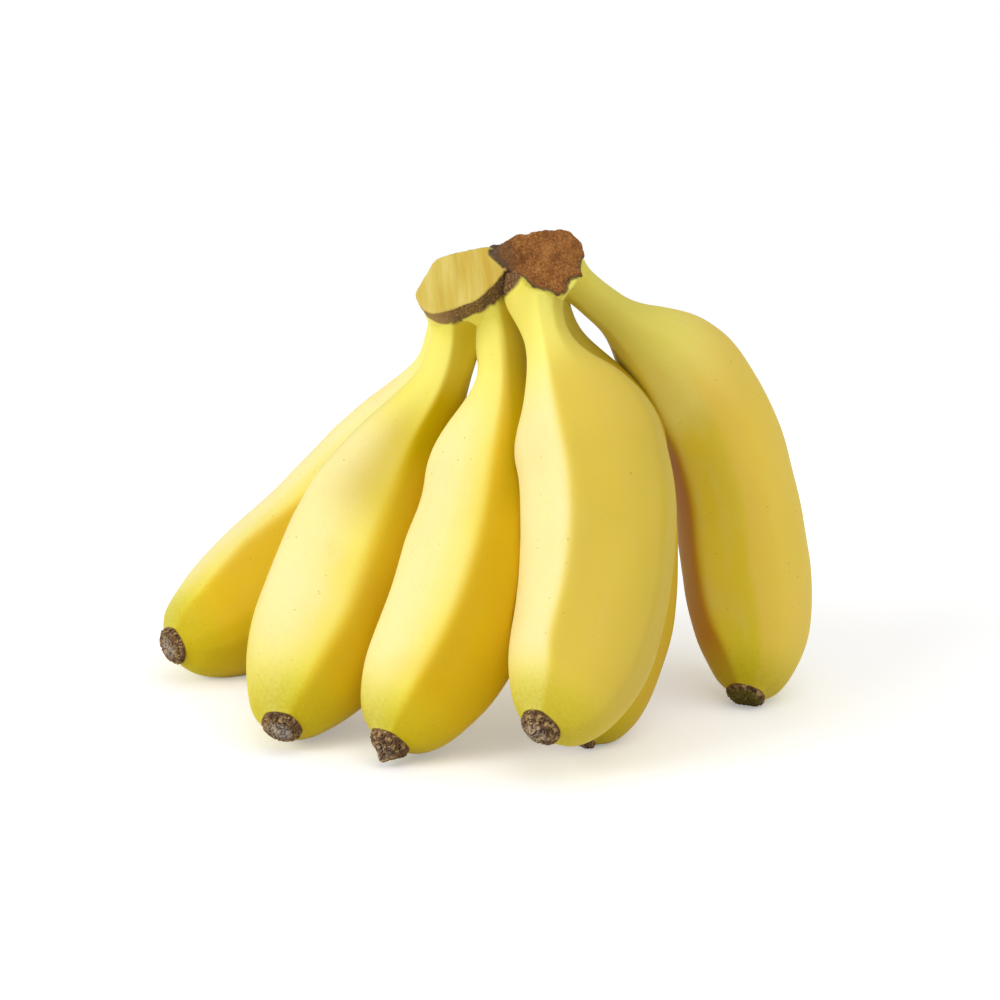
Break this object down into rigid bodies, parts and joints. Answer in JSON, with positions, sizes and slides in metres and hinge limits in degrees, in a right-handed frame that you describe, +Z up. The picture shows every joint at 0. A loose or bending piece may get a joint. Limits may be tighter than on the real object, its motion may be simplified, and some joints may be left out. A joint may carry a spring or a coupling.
{
  "type": "hand of baby bananas",
  "caption": "Hand of ripe baby bananas grown on one crown with a fresh and an old cut, standing on its fingertips.",
  "frame": {"origin": "on the surface the hand stands on, below the middle of its bounding box", "axes": "+Z up through the crown, -Y towards the side that the fingers curve to, +X to the right of that side"},
  "size_m": [0.1592, 0.112, 0.1166],
  "materials": {
    "peel": "waxy banana peel, satin, pale yellow with faint green at neck and tip",
    "crown_skin": "pale fibrous fresh cut, rust-brown dried cut and dried brown rim",
    "dried_flower": "dry, rough and fibrous, dark brown"
  },
  "bodies": {
    "root": {"crown": "crown_skin", "finger_far_left": "peel", "finger_left": "peel", "finger_middle": "peel", "finger_front": "peel", "finger_behind": "peel", "finger_right": "peel", "blossom_end_far_left": "dried_flower", "blossom_end_left": "dried_flower", "blossom_end_middle": "dried_flower", "blossom_end_front": "dried_flower", "blossom_end_behind": "dried_flower", "blossom_end_right": "dried_flower"}
  },
  "joints": []
}
